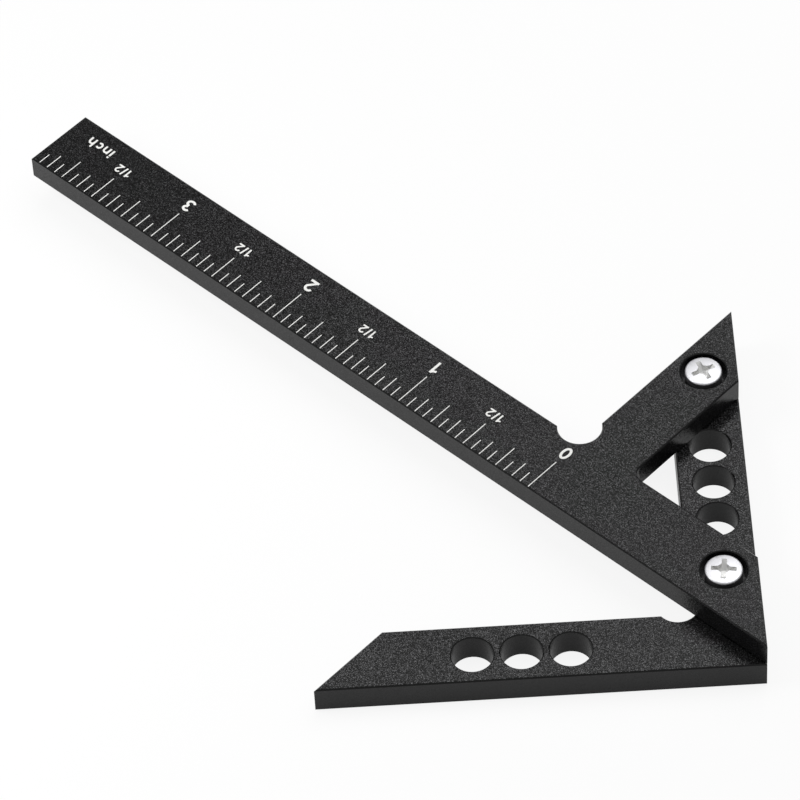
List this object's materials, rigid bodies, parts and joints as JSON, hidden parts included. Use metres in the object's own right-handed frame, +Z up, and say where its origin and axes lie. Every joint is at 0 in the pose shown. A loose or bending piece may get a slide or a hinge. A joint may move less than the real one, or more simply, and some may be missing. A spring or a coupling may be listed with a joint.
{
  "type": "centre-finding ruler",
  "caption": "Flat black centre-finding ruler: a mitred square under a forked, inch-graduated blade whose edge runs along the square's bisector and through its corner.",
  "frame": {"origin": "Middle of the outline in plan, on the plane of the square's underside. The outside corner and the blade's free end lie the same distance from it along X, and the two arm tips the same distance along Y.", "axes": "+X runs along the graduated edge from the blade's free end to the square's outside corner, +Y points to the arm that carries the blade, and +Z points up from the underside to the graduated face."},
  "size_m": [0.1468, 0.0906, 0.0088],
  "materials": {
    "square_anodise": "bead-blasted and black anodised, satin",
    "blade_anodise": "bead-blasted and black anodised, satin",
    "screw_plating": "bright nickel-plated steel",
    "white_fill": "white paint filled into the engraved lines and figures"
  },
  "bodies": {
    "root": {"square_base": "square_anodise", "graduated_blade": "blade_anodise", "corner_screw": "screw_plating", "tip_screw": "screw_plating"}
  },
  "joints": []
}
